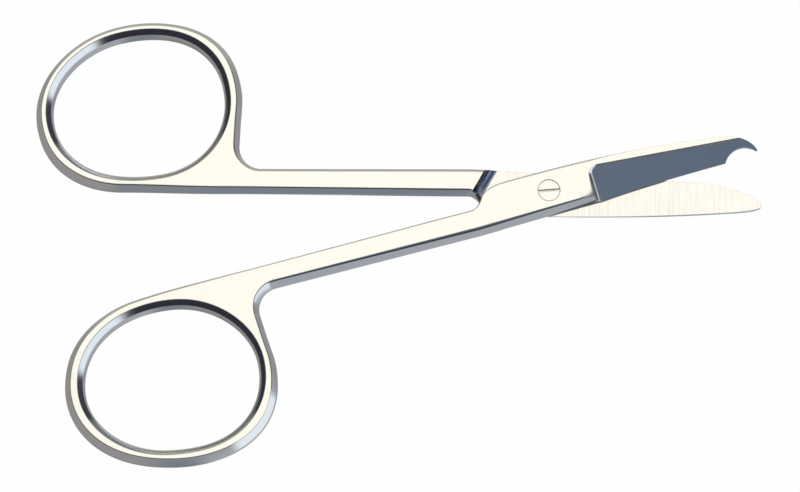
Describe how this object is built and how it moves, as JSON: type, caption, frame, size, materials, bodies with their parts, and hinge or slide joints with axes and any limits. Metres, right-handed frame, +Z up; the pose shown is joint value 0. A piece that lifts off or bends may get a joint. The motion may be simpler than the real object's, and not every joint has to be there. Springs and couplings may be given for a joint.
{
  "type": "suture scissors",
  "caption": "Small steel scissors for taking out stitches: finger rings, straight shanks, a slotted pivot screw, and short blades, one with a hooked crescent notch at its end.",
  "frame": {"origin": "on the screw's axis, at the underside that the scissors lie on", "axes": "+X along the line half way between the blades at rest, towards their tips; +Z up through the screw's slotted head; +Y towards the hooked blade"},
  "size_m": [0.0878, 0.0566, 0.0031],
  "materials": {
    "hooked_half": "polished, with a finely ground facet",
    "plain_half": "polished, with fine grinding lines across the blade's inner face",
    "pivot_screw": "turned and polished"
  },
  "bodies": {
    "plain_half": {"plain_half": "plain_half", "pivot_screw": "pivot_screw"},
    "hooked_half": {"hooked_half": "hooked_half"}
  },
  "joints": [
    {"name": "pivot", "type": "hinge", "parent": "plain_half", "child": "hooked_half", "pos_m": [0, 0, 0], "axis": [0, 0, 1], "range_deg": [-13.6, 112]}
  ]
}
